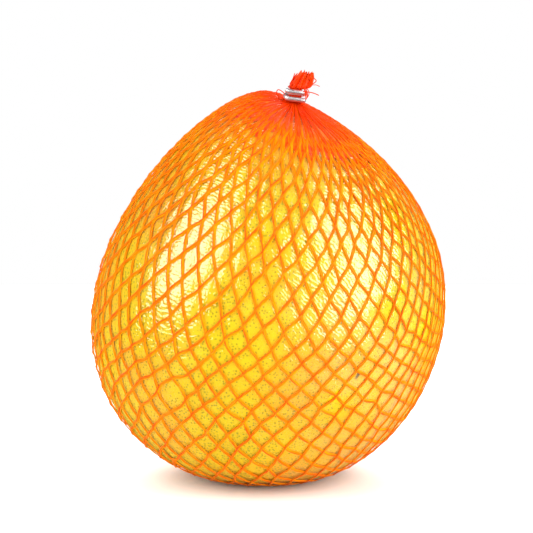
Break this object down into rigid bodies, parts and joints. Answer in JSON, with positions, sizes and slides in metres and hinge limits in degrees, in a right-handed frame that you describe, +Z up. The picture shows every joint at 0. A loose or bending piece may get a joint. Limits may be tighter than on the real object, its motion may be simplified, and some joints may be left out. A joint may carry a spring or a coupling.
{
  "type": "pomelo in a net",
  "caption": "Large yellow citrus fruit in clear stretch film, inside a tube of knitted orange netting drawn together and clipped with soft wire at the top and low on its back.",
  "frame": {"origin": "on the surface the fruit stands on, under the middle of its bounding box", "axes": "+Z up from the blossom end to the gathered netting, -Y towards the front, +X to the right as seen from the front"},
  "size_m": [0.151, 0.149, 0.1737],
  "materials": {
    "peel": "waxy yellow citrus peel with fine dark oil glands",
    "clear_film": "clear stretch film with creases",
    "orange_netting": "knitted strands of thin orange tape",
    "clip_wire": "bright soft wire"
  },
  "bodies": {
    "root": {"pomelo": "peel", "film_wrap": "clear_film", "net": "orange_netting", "upper_clip": "clip_wire", "lower_clip": "clip_wire"}
  },
  "joints": []
}
